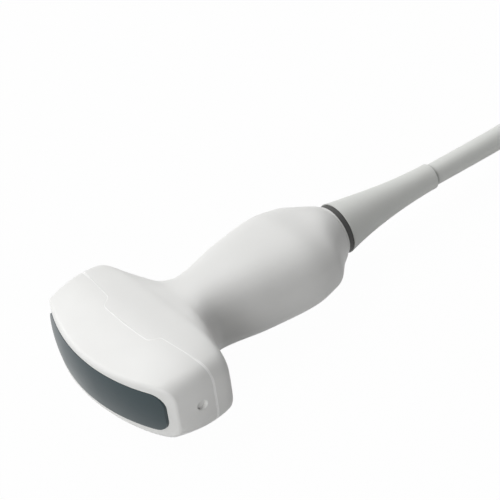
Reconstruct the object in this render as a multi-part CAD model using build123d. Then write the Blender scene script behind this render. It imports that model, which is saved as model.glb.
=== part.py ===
from build123d import *

import os
from collections import namedtuple
from math import cos, degrees, pi, radians, sin, tan

# Millimetres. The probe is drawn with x running forward from its sealing ring to its lens, y across the
# head and z through its thickness, and is then turned to lie with its head toward -X on the floor z = 0.

Station = namedtuple("Station", "at width thick square")

# Lens and array
LENS_RADIUS = 60.0
LENS_APEX = 93.7
LENS_WIDTH = 56.4
LENS_HEIGHT = 13.8
LENS_CORNER = 4.6
LENS_CROWN = 0.7
LENS_PROUD = 0.15
LENS_THICK = 1.5
LENS_FIT = 0.08
LENS_HALF_ANGLE = 34.0
LENS_BAR_LENGTH = 72.0
ARRAY_HALF_ANGLE = 24.5
ARRAY_HEIGHT = 10.6
OUTER_LAYER_THICK = 0.4
INNER_LAYER_THICK = 0.45
PIEZO_THICK = 0.7
BACKING_THICK = 9.5
BOND = 0.03
ELEMENT_GROUPS = 24
KERF_WIDTH = 0.2
KERF_DEPTH = 0.5
FRAME_WALL = 0.9
FRAME_DEPTH = 7.0

# Moulded housing
WALL = 2.2
FRONT_WALL = 2.4
FRONT_EDGE_RADIUS = 1.5
COLLAR_WIDTH = 1.3
REAR = Station(at=COLLAR_WIDTH, width=18.2, thick=18.2, square=2.0)
SHOULDER = Station(at=5.0, width=23.6, thick=21.4, square=2.1)
FLANK = Station(at=11.0, width=33.6, thick=22.8, square=2.3)
BULGE = Station(at=20.0, width=36.2, thick=25.2, square=2.4)
WAIST = Station(at=36.0, width=31.4, thick=25.4, square=2.4)
NECK = Station(at=52.5, width=23.6, thick=24.2, square=2.4)
ROOT = Station(at=57.5, width=28.6, thick=23.6, square=2.7)
FLARE = Station(at=61.0, width=42.0, thick=24.0, square=3.4)
HEAD = Station(at=66.0, width=64.4, thick=25.2, square=4.6)
SIDE = Station(at=72.0, width=64.6, thick=25.4, square=5.4)
NOSE = Station(at=95.5, width=58.0, thick=16.8, square=6.0)
LENGTH_STEPS = 40
OUTLINE_STEPS = 24
FINE_STEPS = 60
SKIN_TOLERANCE = 0.03

# Seam between the nose and the handle
SEAM_AT = 75.0
SEAM_BOW_RADIUS = 150.0
SEAM_GAP = 0.35
SEAM_GROOVE = 0.03
TONGUE_REACH = 3.1
TONGUE_HALF_WIDTH = 9.6
TONGUE_STEP_WIDTH = 4.4
LIP_REACH = 3.0
LIP_ROOT = 2.0
LIP_WALL = 1.2
LIP_FIT = 0.1

# Orientation dimple on one end of the nose
DIMPLE_AT = 76.2
DIMPLE_DIA = 3.0
DIMPLE_RIM_DIA = 3.7
DIMPLE_RIM_DEPTH = 0.3
DIMPLE_DEPTH = 0.9

# Cable, collar, sealing ring and strain relief
CABLE_DIA = 7.2
CABLE_FIT = 0.05
COLLAR_DIA = 17.0
COLLAR_ROUND = 0.55
COLLAR_SPIGOT_DIA = 13.2
COLLAR_SPIGOT_LENGTH = 3.6
COLLAR_FIT = 0.05
RING_WIDTH = 1.8
RING_DIA = 16.3
BOOT_LENGTH = 40.0
BOOT_BASE_DIA = 16.9
BOOT_NECK_DIA = 10.4
BOOT_TIP_DIA = 8.5
BOOT_FLANGE_DIA = 12.6
BOOT_FLANGE_THICK = 2.0
BOOT_TAPER_POWER = 1.87
BOOT_SECTIONS = 7
BOOT_DROOP = 3.2
BOOT_BEND_AT = 9.0
BOOT_FIT = 0.05

# Small pan-head screws, as multiples of their diameter or head
SCREW_HEAD_DIAMETERS = 1.9
SCREW_HEAD_HEIGHT = 0.5
SCREW_HEAD_ROUND = 0.4

# Cable clamp and wiring in the handle
CLAMP_AT = 16.0
CLAMP_LENGTH = 8.0
CLAMP_WIDTH = 19.0
CLAMP_HALF_HEIGHT = 6.0
CLAMP_SCREW_PITCH = 13.0
CLAMP_SCREW_DIA = 2.0
CLAMP_SCREW_LENGTH = 10.0
RIB_THICK = 1.2
RIB_FIT = 0.1
FERRULE_LENGTH = 3.4
FERRULE_WALL = 0.8
FAN_START = 1.0
CORE_DIA = 5.4
RIBBON_THICK = 0.8
RIBBON_WIDTH = 11.0
CARRIER_FROM = 32.0
CARRIER_TO = 58.0
CARRIER_THICK = 2.4
CARRIER_FIT = 0.15
BOARD_LENGTH = 22.0
BOARD_WIDTH = 15.0
BOARD_THICK = 1.0
BOARD_STANDOFF = 2.2
BOARD_SCREW_DIA = 1.6
BOARD_SCREW_LENGTH = 3.5
BOARD_POST_DIA = 3.5
BOARD_SCREW_EDGE = 2.0
SOCKET_LENGTH = 2.8
SOCKET_WIDTH = 11.6
SOCKET_HEIGHT = 1.4
FLEX_THICK = 0.3
FLEX_WIDTH = 28.0
FLEX_REAR_RUN = 3.0
FLEX_FRONT_RUN = 6.0

# Hank of spare cable and its tie
CORNER_SHARE = 0.45
LEAD_FIRST_RUN = 15.2
LEAD_TURN_AT = 34.0
LEAD_TURN_LIFT = 4.4
LEAD_DIP_AT = 48.2
LEAD_DIP_ASIDE = 6.2
LEAD_DIP_LIFT = 0.8
LEAD_LANDING = 7.5
LEAD_LANDING_ASIDE = 0.6
LEAD_TO_HANK = 74.2
HANK_RUN = 46.0
HANK_ASIDE = 14.0
HANK_FOLD_DIAMETERS = 3.0
HANK_COLUMNS = 2
HANK_LAYERS = 4
HANK_CORNER = 3.0
OUT_FROM = 8.0
OUT_LENGTH = 42.0
OUT_END_RUN = 12.0
OUT_START_DROP = 0.4
OUT_END_DROP = 0.2
TIE_WIDTH = 11.0
TIE_THICK = 1.2
TIE_FIT = 0.3
TIE_CORNER = 3.0

# Console plug
PLUG_DEPTH = 50.0
PLUG_WIDTH = 56.0
PLUG_HEIGHT = 40.0
PLUG_WALL = 2.5
PLUG_CORNER = 5.0
PLUG_EDGE = 2.2
PLUG_INNER_EDGE = 0.4
PLUG_CABLE_SIDE = 17.0
PLUG_BOOT_LENGTH = 22.0
PLUG_BOOT_DIA = 12.4
PLUG_BOOT_FLANGE_DIA = 11.6
PLUG_BOOT_TIP_SLOPE = 0.05
PLUG_BOOT_ROOT_SLOPE = 0.35
PLUG_CLAMP_GAP = 2.0
PLUG_CLAMP_WIDTH = 10.0
PLUG_SCREW_DIA = 2.4
PLUG_SCREW_HEAD = 4.4
PLUG_SCREW_INSET = 6.0
PLUG_SCREW_REAR = 19.0
PLUG_BOSS_DIA = 6.6
PLUG_SCREW_SINK = 0.8
PLUG_SCREW_END = 2.0
FLANGE_THICK = 2.0
FLANGE_RIM = 4.0
FLANGE_CORNER = 2.5
BLOCK_WIDTH = 36.0
BLOCK_HEIGHT = 20.0
BLOCK_DEPTH = 13.0
BLOCK_PROUD = 1.2
BLOCK_FIT = 0.1
PAD_ROWS = 3
PADS_PER_SIDE = 6
PAD_PITCH = 2.0
PAD_WIDTH = 1.1
PAD_THICK = 0.4
PAD_FROM = 2.0
PAD_RECESS = 0.5
PLUG_BOARD_THICK = 1.6
SHAFT_DIA = 5.0
SHAFT_FIT = 0.05
BUSH_WALL = 1.4
BUSH_PROUD = 1.0
GROOVE_DIA = 4.0
KEY_LENGTH = 12.0
KEY_WIDTH = 4.0
KEY_THICK = 3.0
KEY_ROUND = 1.6
KEY_CLEAR = 1.6
KNOB_DIA = 20.0
KNOB_DISC = 4.0
KNOB_GRIP = 8.0
KNOB_GRIP_WIDTH = 6.0
KNOB_GRIP_LENGTH = 16.0
KNOB_GRIP_ROUND = 2.4
KNOB_EDGE = 1.2
KNOB_SCREW_HEAD = 1.4
KNOB_CLEAR = 0.6
CLIP_DIA = 9.0
CLIP_THICK = 0.8
CLIP_MOUTH = 3.0

# Sizes that follow from those above
ARC_X = LENS_APEX - LENS_RADIUS
NOSE_RADIUS = LENS_RADIUS - LENS_CROWN - LENS_PROUD
LENS_BACK_RADIUS = NOSE_RADIUS - LENS_THICK
CABLE_RADIUS = CABLE_DIA / 2
CORE_RADIUS = CORE_DIA / 2
TAIL_END = CLAMP_AT + CLAMP_LENGTH / 2 + CABLE_FIT
FERRULE_END = TAIL_END + FERRULE_LENGTH
BOARD_UNDER = CARRIER_THICK / 2 + BOARD_STANDOFF
BOARD_TOP = BOARD_UNDER + BOARD_THICK
BOARD_FROM = CARRIER_FROM
BOARD_TO = BOARD_FROM + BOARD_LENGTH
STATIONS = [REAR, SHOULDER, FLANK, BULGE, WAIST, NECK, ROOT, FLARE, HEAD, SIDE, NOSE]
BIG = 3 * LENS_APEX


def slab(x, y, z):
    """Box between a low and a high value on each axis."""
    size = [high - low for low, high in (x, y, z)]
    return Pos(x[0], y[0], z[0]) * Box(*size, align=(Align.MIN, Align.MIN, Align.MIN))


def rod(x, diameter, y=0.0, z=0.0):
    """Round bar along X between two stations."""
    bar = Cylinder(diameter / 2, x[1] - x[0], align=(Align.CENTER, Align.CENTER, Align.MIN))
    return Pos(x[0], y, z) * Rot(0, 90, 0) * bar


def post(x, y, z, diameter):
    """Round bar along Z between two heights."""
    bar = Cylinder(diameter / 2, z[1] - z[0], align=(Align.CENTER, Align.CENTER, Align.MIN))
    return Pos(x, y, z[0]) * bar


def group(solids):
    """Separate solids that share one node."""
    return Compound(children=[solid for part in solids for solid in part.solids()])


# Outer skin


def slope_at(stops, i):
    """Slope of the smooth curve at stop i, level where the values turn back."""
    steps = [(yb - ya) / (xb - xa) for (xa, ya), (xb, yb) in zip(stops, stops[1:])]
    if i == 0 or i == len(steps):
        return steps[min(i, len(steps) - 1)]
    before = steps[i - 1]
    after = steps[i]
    if before * after <= 0:
        return 0.0
    return 2 * before * after / (before + after)


def glide(stops, x):
    """Value at x of a smooth curve through (position, value) stops that never overshoots them."""
    i = max(k for k in range(len(stops) - 1) if k == 0 or stops[k][0] <= x)
    (xa, ya), (xb, yb) = stops[i], stops[i + 1]
    span = xb - xa
    t = (x - xa) / span
    bend_a = slope_at(stops, i) * span
    bend_b = slope_at(stops, i + 1) * span
    return (ya * (1 + 2 * t) * (1 - t) ** 2 + bend_a * t * (1 - t) ** 2
            + yb * t * t * (3 - 2 * t) + bend_b * t * t * (t - 1))


def half_outline(x, half_width, half_thick, square):
    """Evenly spaced points up one side of a superellipse: oval at the handle, a rounded bar at the head."""
    fine = []
    for step in range(-FINE_STEPS, FINE_STEPS + 1):
        turn = abs(step) * pi / 2 / FINE_STEPS
        across = cos(turn) ** (2 / square) if abs(step) < FINE_STEPS else 0.0
        through = sin(turn) ** (2 / square)
        fine.append(Vector(x, half_width * across, half_thick * (through if step > 0 else -through)))
    reached = [0.0]
    for a, b in zip(fine, fine[1:]):
        reached.append(reached[-1] + (b - a).length)
    points = []
    for k in range(OUTLINE_STEPS + 1):
        wanted = reached[-1] * k / OUTLINE_STEPS
        i = max(j for j in range(len(fine) - 1) if reached[j] <= wanted)
        share = (wanted - reached[i]) / (reached[i + 1] - reached[i])
        points.append(fine[i] + (fine[i + 1] - fine[i]) * share)
    return points


def skin(inset):
    """Solid inside the outer surface, drawn in by an inset on every side but the front."""
    widths = [(s.at, s.width / 2) for s in STATIONS]
    thicks = [(s.at, s.thick / 2) for s in STATIONS]
    squares = [(s.at, s.square) for s in STATIONS]
    rows = []
    for k in range(LENGTH_STEPS + 1):
        x = REAR.at + (NOSE.at - REAR.at) * k / LENGTH_STEPS
        half_width = glide(widths, x) - inset
        half_thick = glide(thicks, x) - inset
        rows.append(half_outline(x + inset, half_width, half_thick, glide(squares, x)))
    left = Face.make_surface_from_array_of_points(rows, tol=SKIN_TOLERANCE)
    right = left.mirror(Plane.XZ)
    ends = []
    for k in (0, -1):
        rims = [side.edges().sort_by(Axis.X)[k] for side in (left, right)]
        ends.append(Face(Wire(rims)))
    return Solid(Shell([left, right, *ends]))


def drawn_in(solid, gap, width, thick):
    """Copy of a skin that stands a gap inside it where the skin has a given width and thickness."""
    return scale(solid, by=(1, 1 - 2 * gap / width, 1 - 2 * gap / thick))


def in_head(gap):
    """Inner skin drawn in by a gap where the seam crosses the head."""
    return drawn_in(INNER_SKIN, gap, HEAD.width - 2 * WALL, HEAD.thick - 2 * WALL)


def front_drum(radius):
    """Round drum about the axis of the array, with its seam turned away from the lens."""
    return Pos(ARC_X, 0, 0) * Rot(0, 0, 180) * Cylinder(radius, BIG)


def seam_base(y):
    """Station of the seam's gentle bow at a place across the head."""
    return SEAM_AT - y * y / (2 * SEAM_BOW_RADIUS)


def ahead_of_seam(shift):
    """Everything ahead of the seam line, which steps forward in a tongue at the middle."""
    far = HEAD.width
    foot = TONGUE_HALF_WIDTH + TONGUE_STEP_WIDTH
    tip = seam_base(0) + TONGUE_REACH
    shoulder = seam_base(TONGUE_HALF_WIDTH) + TONGUE_REACH
    bows = []
    steps = []
    for side in (1, -1):
        middle = side * (far + foot) / 2
        outer = (seam_base(far), side * far)
        inner = (seam_base(foot), side * foot)
        bows.append(ThreePointArc(outer, (seam_base(middle), middle), inner))
        top = (shoulder, side * TONGUE_HALF_WIDTH)
        steps.append(Spline(inner, top, tangents=[(0, -side), (0, -side)]))
    crest = ThreePointArc((shoulder, TONGUE_HALF_WIDTH), (tip, 0), (shoulder, -TONGUE_HALF_WIDTH))
    rim = Polyline((seam_base(far), far), (BIG, far), (BIG, -far), (seam_base(far), -far))
    outline = make_face([*bows, *steps, crest, rim])
    return Pos(shift, 0, -BIG / 2) * extrude(outline, BIG)


def seam_band(start, stop):
    """Slice between two copies of the seam line."""
    return ahead_of_seam(start) - ahead_of_seam(stop)


OUTER_SKIN = skin(0)
INNER_SKIN = skin(WALL)
CAVITY = INNER_SKIN & front_drum(NOSE_RADIUS - FRONT_WALL)


# Lens and array


def arc_of_array(profile, half_angle):
    """Turns a profile (radius, height) about the array's axis, evenly to both sides."""
    turned = revolve(profile, Axis.Z, 2 * half_angle)
    return Pos(ARC_X, 0, 0) * Rot(0, 0, -half_angle) * turned


def arc_block(inner, outer, height, half_angle):
    """Curved bar between two radii."""
    profile = Plane.XZ * Pos((inner + outer) / 2, 0) * Rectangle(outer - inner, height)
    return arc_of_array(profile, half_angle)


def lens_prism(grow):
    """Straight bar with the lens's rounded outline, seen from the front."""
    width = LENS_WIDTH + 2 * grow
    height = LENS_HEIGHT + 2 * grow
    outline = Plane.YZ * RectangleRounded(width, height, LENS_CORNER + grow)
    return Pos(ARC_X, 0, 0) * extrude(outline, LENS_BAR_LENGTH)


def acoustic_lens():
    """Silicone lens, curved along the array and crowned across it."""
    half = LENS_HEIGHT / 2
    edge = NOSE_RADIUS + LENS_PROUD
    back = LENS_BACK_RADIUS + LENS_FIT
    crown = ThreePointArc((edge, -half), (LENS_RADIUS, 0), (edge, half))
    rest = Polyline((edge, half), (back, half), (back, -half), (edge, -half))
    profile = Plane.XZ * make_face([crown, rest])
    return arc_of_array(profile, LENS_HALF_ANGLE) & lens_prism(0)


LAYER_FRONT = LENS_BACK_RADIUS
OUTER_LAYER_BACK = LAYER_FRONT - OUTER_LAYER_THICK
INNER_LAYER_FRONT = OUTER_LAYER_BACK - BOND
INNER_LAYER_BACK = INNER_LAYER_FRONT - INNER_LAYER_THICK
PIEZO_FRONT = INNER_LAYER_BACK - BOND
PIEZO_BACK = PIEZO_FRONT - PIEZO_THICK
BACKING_FRONT = PIEZO_BACK - BOND
BACKING_BACK = BACKING_FRONT - BACKING_THICK
FRAME_FRONT = NOSE_RADIUS - FRONT_WALL - LIP_FIT
FRAME_BACK = FRAME_FRONT - FRAME_DEPTH


def piezo_array():
    """Ceramic bar diced from the front into element groups."""
    bar = arc_block(PIEZO_BACK, PIEZO_FRONT, ARRAY_HEIGHT, ARRAY_HALF_ANGLE)
    pitch = 2 * ARRAY_HALF_ANGLE / ELEMENT_GROUPS
    cuts = []
    for k in range(1, ELEMENT_GROUPS):
        saw = slab((PIEZO_FRONT - KERF_DEPTH, LENS_RADIUS), (-KERF_WIDTH / 2, KERF_WIDTH / 2),
                   (-ARRAY_HEIGHT, ARRAY_HEIGHT))
        cuts.append(Pos(ARC_X, 0, 0) * Rot(0, 0, k * pitch - ARRAY_HALF_ANGLE) * saw)
    return bar - cuts


def array_opening(grow):
    """Curved hole through the front wall and the frame for the stack."""
    reach = ARRAY_HALF_ANGLE + degrees(grow / LENS_RADIUS)
    return arc_block(FRAME_BACK - 1, LENS_RADIUS + 1, ARRAY_HEIGHT + 2 * grow, reach)


def array_frame():
    """Rectangular frame that holds the stack behind the front wall."""
    grow = FRAME_WALL + LIP_FIT
    reach = ARRAY_HALF_ANGLE + degrees(grow / LENS_RADIUS)
    body = arc_block(FRAME_BACK, FRAME_FRONT, ARRAY_HEIGHT + 2 * grow, reach)
    return body - array_opening(LIP_FIT)


# Housing pieces


def dimple():
    """Round blind hole with a sloping rim, the orientation mark on the nose's end."""
    widths = [(s.at, s.width / 2) for s in STATIONS]
    surface = glide(widths, DIMPLE_AT)
    well = post(0, 0, (-DIMPLE_DEPTH, 1), DIMPLE_DIA)
    depth = DIMPLE_RIM_DEPTH
    rim = Pos(0, 0, -depth / 2) * Cone(DIMPLE_DIA / 2, DIMPLE_RIM_DIA / 2, depth)
    mouth = post(0, 0, (0, 1), DIMPLE_RIM_DIA)
    return Pos(DIMPLE_AT, surface, 0) * Rot(-90, 0, 0) * (well + rim + mouth)


def nose_shell():
    """Front of the head: skin, lens seat, array opening and the lip that enters the handle."""
    solid = OUTER_SKIN & front_drum(NOSE_RADIUS)
    front = solid.faces().sort_by(Axis.X)[-1].edges()
    solid = fillet(front, FRONT_EDGE_RADIUS)
    shell = (solid - CAVITY) & ahead_of_seam(0)
    bore = in_head(LIP_FIT + LIP_WALL)
    root = (INNER_SKIN - bore) & seam_band(0, LIP_ROOT)
    lip = (in_head(LIP_FIT) - bore) & seam_band(-LIP_REACH, 0)
    seat = lens_prism(LENS_FIT) - front_drum(LENS_BACK_RADIUS)
    return shell + root + lip - seat - array_opening(LIP_FIT) - dimple()


def handle_shell():
    """Handle and rear of the head in one wall, before it is parted along its middle."""
    shell = (OUTER_SKIN - CAVITY) - ahead_of_seam(-SEAM_GAP)
    return shell - rod((0, SHOULDER.at + WALL), COLLAR_SPIGOT_DIA + 2 * COLLAR_FIT)


def clamp_ribs(side):
    """Cross ribs that press on the cable clamp from one half of the handle."""
    near = CLAMP_HALF_HEIGHT + RIB_FIT
    ribs = []
    for end in (-1, 1):
        middle = CLAMP_AT + end * (CLAMP_LENGTH / 2 - RIB_THICK)
        heights = sorted((side * near, side * BULGE.thick))
        reach = (-CLAMP_WIDTH / 2, CLAMP_WIDTH / 2)
        ribs.append(slab((middle - RIB_THICK / 2, middle + RIB_THICK / 2), reach, heights))
    return [rib & INNER_SKIN for rib in ribs]


def handle_half(side):
    """Upper (side 1) or lower (side -1) half of the handle with its ribs."""
    space = slab((-BIG, BIG), (-BIG, BIG), sorted((0, side * BIG)))
    return (handle_shell() & space) + clamp_ribs(side)


def seam_gasket():
    """Seal in the seam, all but flush with the housing so that the seam reads as a fine line."""
    wall = drawn_in(OUTER_SKIN, SEAM_GROOVE, HEAD.width, HEAD.thick) - INNER_SKIN
    return wall & seam_band(-SEAM_GAP + BOND, -BOND)


# Rear end of the handle


def rear_collar():
    """Flanged bush that closes the two halves at the rear."""
    flange = rod((0, COLLAR_WIDTH), COLLAR_DIA)
    flange = fillet(flange.edges(), COLLAR_ROUND)
    spigot = rod((COLLAR_WIDTH - COLLAR_ROUND, COLLAR_WIDTH + COLLAR_SPIGOT_LENGTH), COLLAR_SPIGOT_DIA)
    bore = rod((-1, BIG), BOOT_NECK_DIA + 2 * BOOT_FIT)
    return flange + spigot - bore


def seal_ring():
    """Dark ring between the collar and the strain relief, a little below their rims."""
    ring = rod((-RING_WIDTH + BOND, -BOND), RING_DIA)
    return ring - rod((-BIG, BIG), BOOT_NECK_DIA + 2 * BOOT_FIT)


def cable_path():
    """Line of the cable through the clamp and the strain relief, which droops a little."""
    bend = Vector(-BOOT_BEND_AT, 0, 0)
    run = BOOT_LENGTH - BOOT_BEND_AT
    tip = bend + Vector(-run * cos(radians(BOOT_DROOP)), 0, -run * sin(radians(BOOT_DROOP)))
    radius = (BOOT_BEND_AT - RING_WIDTH) / tan(radians(BOOT_DROOP / 2))
    return FilletPolyline(Vector(TAIL_END, 0, 0), bend, tip, radius=radius)


PATH = cable_path()
BOOT_TIP = PATH @ 1
BOOT_TIP_DIRECTION = PATH % 1


def cable_stretch(diameter):
    """Round solid along the cable inside the clamp and the strain relief."""
    start = Plane(PATH @ 0, z_dir=PATH % 0)
    return sweep(start * Circle(diameter / 2), PATH)


def strain_relief_boot():
    """Rubber boot: a neck and flange inside the handle, then a flared taper along the drooping cable."""
    start = TAIL_END + RING_WIDTH
    sections = []
    for k in range(BOOT_SECTIONS + 1):
        share = k / BOOT_SECTIONS
        along = start + share * (PATH.length - start)
        radius = (BOOT_TIP_DIA + (BOOT_BASE_DIA - BOOT_TIP_DIA) * (1 - share) ** BOOT_TAPER_POWER) / 2
        middle = PATH.position_at(along, position_mode=PositionMode.LENGTH)
        ahead = PATH.tangent_at(along, position_mode=PositionMode.LENGTH)
        sections.append(Plane(middle, x_dir=(0, 1, 0), z_dir=ahead) * Circle(radius))
    taper = loft(sections)
    back = COLLAR_WIDTH + COLLAR_SPIGOT_LENGTH + BOOT_FIT
    neck = rod((-RING_WIDTH, back), BOOT_NECK_DIA)
    flange = rod((back, back + BOOT_FLANGE_THICK), BOOT_FLANGE_DIA)
    return taper + neck + flange - cable_stretch(CABLE_DIA + 2 * CABLE_FIT)


# Inside the handle


def cable_clamp(side):
    """Half of the saddle that grips the cable."""
    heights = sorted((side * CABLE_FIT, side * CLAMP_HALF_HEIGHT))
    ends = (CLAMP_AT - CLAMP_LENGTH / 2, CLAMP_AT + CLAMP_LENGTH / 2)
    block = slab(ends, (-CLAMP_WIDTH / 2, CLAMP_WIDTH / 2), heights)
    holes = [post(CLAMP_AT, end * CLAMP_SCREW_PITCH / 2, (-BIG, BIG), CLAMP_SCREW_DIA + 2 * CABLE_FIT)
             for end in (-1, 1)]
    return block - rod((-BIG, BIG), CABLE_DIA + 2 * CABLE_FIT) - holes


def screw(length, diameter):
    """Pan-head screw pointing down, its head's underside at z = 0."""
    shank = post(0, 0, (-length, 0), diameter)
    height = SCREW_HEAD_HEIGHT * diameter
    head = post(0, 0, (0, height), SCREW_HEAD_DIAMETERS * diameter)
    rim = head.edges().sort_by(Axis.Z)[-1]
    return shank + fillet(rim, SCREW_HEAD_ROUND * height)


def clamp_screws():
    """Two screws that draw the saddle together."""
    one = screw(CLAMP_SCREW_LENGTH, CLAMP_SCREW_DIA)
    return group(Pos(CLAMP_AT, end * CLAMP_SCREW_PITCH / 2, CLAMP_HALF_HEIGHT) * one for end in (-1, 1))


def crimp_ferrule():
    """Sleeve that grips the cable's screen on its core."""
    ends = (TAIL_END + CABLE_FIT, FERRULE_END)
    return rod(ends, CORE_DIA + 2 * (FERRULE_WALL + CABLE_FIT)) - rod((0, BIG), CORE_DIA + 2 * CABLE_FIT)


def coax_bundle():
    """Bundle of fine coaxial wires that leaves the cable and parts to the two boards."""
    fan_from = FERRULE_END + FAN_START
    fan_to = BOARD_FROM - CABLE_FIT
    bundle = rod((TAIL_END + CABLE_FIT, fan_from), CORE_DIA)
    for side in (-1, 1):
        low = Plane.YZ * Pos(0, side * CORE_RADIUS / 2) * Rectangle(CORE_RADIUS, CORE_RADIUS / 2)
        high_z = side * (BOARD_TOP + SOCKET_HEIGHT / 2)
        high = Plane.YZ * Pos(0, high_z) * Rectangle(RIBBON_WIDTH, RIBBON_THICK)
        bundle += loft([Pos(FERRULE_END, 0, 0) * low, Pos(fan_to, 0, 0) * high])
    return bundle


def board_places():
    """Corners of a board that carry its screws."""
    inner = BOARD_WIDTH / 2 - BOARD_SCREW_EDGE
    middle = (BOARD_FROM + BOARD_TO) / 2
    reach = BOARD_LENGTH / 2 - BOARD_SCREW_EDGE - SOCKET_LENGTH
    return [(middle + a * reach, b * inner) for a in (-1, 1) for b in (-1, 1)]


def board_carrier():
    """Plate across the handle with stand-offs for the boards on both faces."""
    ends = (CARRIER_FROM, CARRIER_TO)
    blank = slab(ends, (-BIG, BIG), (-CARRIER_THICK / 2, CARRIER_THICK / 2))
    plate = blank & drawn_in(INNER_SKIN, CARRIER_FIT, NECK.width - 2 * WALL, NECK.thick - 2 * WALL)
    posts = [post(x, y, (-BOARD_UNDER, BOARD_UNDER), BOARD_POST_DIA) for x, y in board_places()]
    bores = [post(x, y, (-BIG, BIG), BOARD_SCREW_DIA + 2 * CABLE_FIT) for x, y in board_places()]
    return plate + posts - bores


def signal_board(side):
    """Circuit board on one face of the carrier."""
    heights = sorted((side * BOARD_UNDER, side * BOARD_TOP))
    board = slab((BOARD_FROM, BOARD_TO), (-BOARD_WIDTH / 2, BOARD_WIDTH / 2), heights)
    return board - [post(x, y, (-BIG, BIG), BOARD_SCREW_DIA + 2 * CABLE_FIT) for x, y in board_places()]


def board_screws():
    """Four screws into each face of the carrier."""
    one = screw(BOARD_SCREW_LENGTH, BOARD_SCREW_DIA)
    upper = [Pos(x, y, BOARD_TOP) * one for x, y in board_places()]
    lower = [Pos(x, y, -BOARD_TOP) * Rot(180, 0, 0) * one for x, y in board_places()]
    return group(upper + lower)


def board_connectors():
    """A socket for the wires at the rear and one for the flex at the front of each board."""
    sockets = []
    across = (-SOCKET_WIDTH / 2, SOCKET_WIDTH / 2)
    for side in (-1, 1):
        heights = sorted((side * BOARD_TOP, side * (BOARD_TOP + SOCKET_HEIGHT)))
        for start in (BOARD_FROM, BOARD_TO - SOCKET_LENGTH):
            sockets.append(slab((start, start + SOCKET_LENGTH), across, heights))
    return group(sockets)


def flex_circuit(side):
    """Thin circuit from the back of the stack to a board, narrowing through the neck."""
    rear = BOARD_TO + CABLE_FIT
    front = ARC_X + BACKING_BACK * cos(radians(ARRAY_HALF_ANGLE))
    low = BOARD_TOP + SOCKET_HEIGHT / 2
    high = ARRAY_HEIGHT / 2 - FLEX_THICK
    bend = rear + FLEX_REAR_RUN
    spread = front - FLEX_FRONT_RUN
    line = [(rear, low), (bend, low), (spread, high), (front, high)]
    lower = [(x, z - FLEX_THICK / 2) for x, z in line]
    upper = [(x, z + FLEX_THICK / 2) for x, z in reversed(line)]
    side_view = Plane.XZ * make_face(Polyline(*lower, *upper, close=True))
    sheet = extrude(side_view, FLEX_WIDTH, both=True)
    half = SOCKET_WIDTH / 2
    wide = FLEX_WIDTH / 2
    plan = [(rear, -half), (bend, -half), (spread, -wide), (front, -wide),
            (front, wide), (spread, wide), (bend, half), (rear, half)]
    sheet &= Pos(0, 0, -BIG / 2) * extrude(make_face(Polyline(*plan, close=True)), BIG)
    return sheet if side > 0 else Rot(180, 0, 0) * sheet


# The probe turned to lie on the floor with its middle over the origin


SPAN_MIDDLE = (LENS_APEX + BOOT_TIP.X) / 2
LYING_HEIGHT = max(station.thick for station in STATIONS) / 2
LYING = Pos(SPAN_MIDDLE, 0, LYING_HEIGHT) * Rot(0, 0, 180)


def floor_place(point):
    """Place in the lying frame of a point drawn on the probe."""
    return Vector(SPAN_MIDDLE - point.X, -point.Y, LYING_HEIGHT + point.Z)


EXIT = floor_place(BOOT_TIP)
EXIT_SLOPE = BOOT_TIP_DIRECTION.Z


# Cable, hank and tie


HANK_INNER_FOLD = HANK_FOLD_DIAMETERS * CABLE_DIA
HANK_OUTER_FOLD = HANK_INNER_FOLD + (HANK_COLUMNS - 1) * CABLE_DIA
HANK_HEIGHT = HANK_LAYERS * CABLE_DIA
HANK_TOP_LAYER = HANK_HEIGHT - CABLE_RADIUS
HANK_X = EXIT.X + LEAD_TO_HANK
LEAD_Y = HANK_OUTER_FOLD - HANK_ASIDE
RUN_END = HANK_X + HANK_RUN
PLUG_X = RUN_END + OUT_FROM + OUT_LENGTH + PLUG_BOOT_LENGTH
PLUG_Y = LEAD_Y - PLUG_CABLE_SIDE
PLUG_MIDDLE = PLUG_HEIGHT / 2
PLUG_EXIT = Vector(PLUG_X - PLUG_BOOT_LENGTH, LEAD_Y, PLUG_MIDDLE)


def corner_radii(points):
    """Largest tangent arc at each corner of a route."""
    radii = []
    for a, b, c in zip(points, points[1:], points[2:]):
        turn = (b - a).get_angle(c - b)
        shorter = min((b - a).length, (c - b).length)
        radii.append(CORNER_SHARE * shorter / tan(radians(turn / 2)))
    return radii


def cord_tube(points, label):
    """Tube of cable along straight runs joined by tangent arcs."""
    radii = corner_radii(points)
    path = FilletPolyline(*points, radius=radii)
    print(label, "radii", [round(r) for r in radii], "length", round(path.length, 1))
    tube = sweep(Plane(path @ 0, z_dir=path % 0) * Circle(CABLE_RADIUS), path)
    section = pi * CABLE_RADIUS ** 2
    print(label, "volume over section times length", round(tube.volume / (section * path.length), 4))
    return tube


LEAD_ROUTE = [
    EXIT,
    EXIT + Vector(LEAD_FIRST_RUN, 0, LEAD_FIRST_RUN * EXIT_SLOPE),
    Vector(EXIT.X + LEAD_TURN_AT, 0, CABLE_RADIUS + LEAD_TURN_LIFT),
    Vector(EXIT.X + LEAD_DIP_AT, LEAD_DIP_ASIDE, CABLE_RADIUS + LEAD_DIP_LIFT),
    Vector(HANK_X - LEAD_LANDING, LEAD_Y - LEAD_LANDING_ASIDE, CABLE_RADIUS),
    Vector(HANK_X + LEAD_LANDING, LEAD_Y, CABLE_RADIUS),
]
OUT_ROUTE = [
    Vector(RUN_END + OUT_FROM, LEAD_Y, HANK_TOP_LAYER),
    Vector(RUN_END + OUT_FROM + OUT_END_RUN, LEAD_Y, HANK_TOP_LAYER - OUT_START_DROP),
    PLUG_EXIT + Vector(-OUT_END_RUN, 0, OUT_END_DROP),
    PLUG_EXIT,
]


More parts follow.
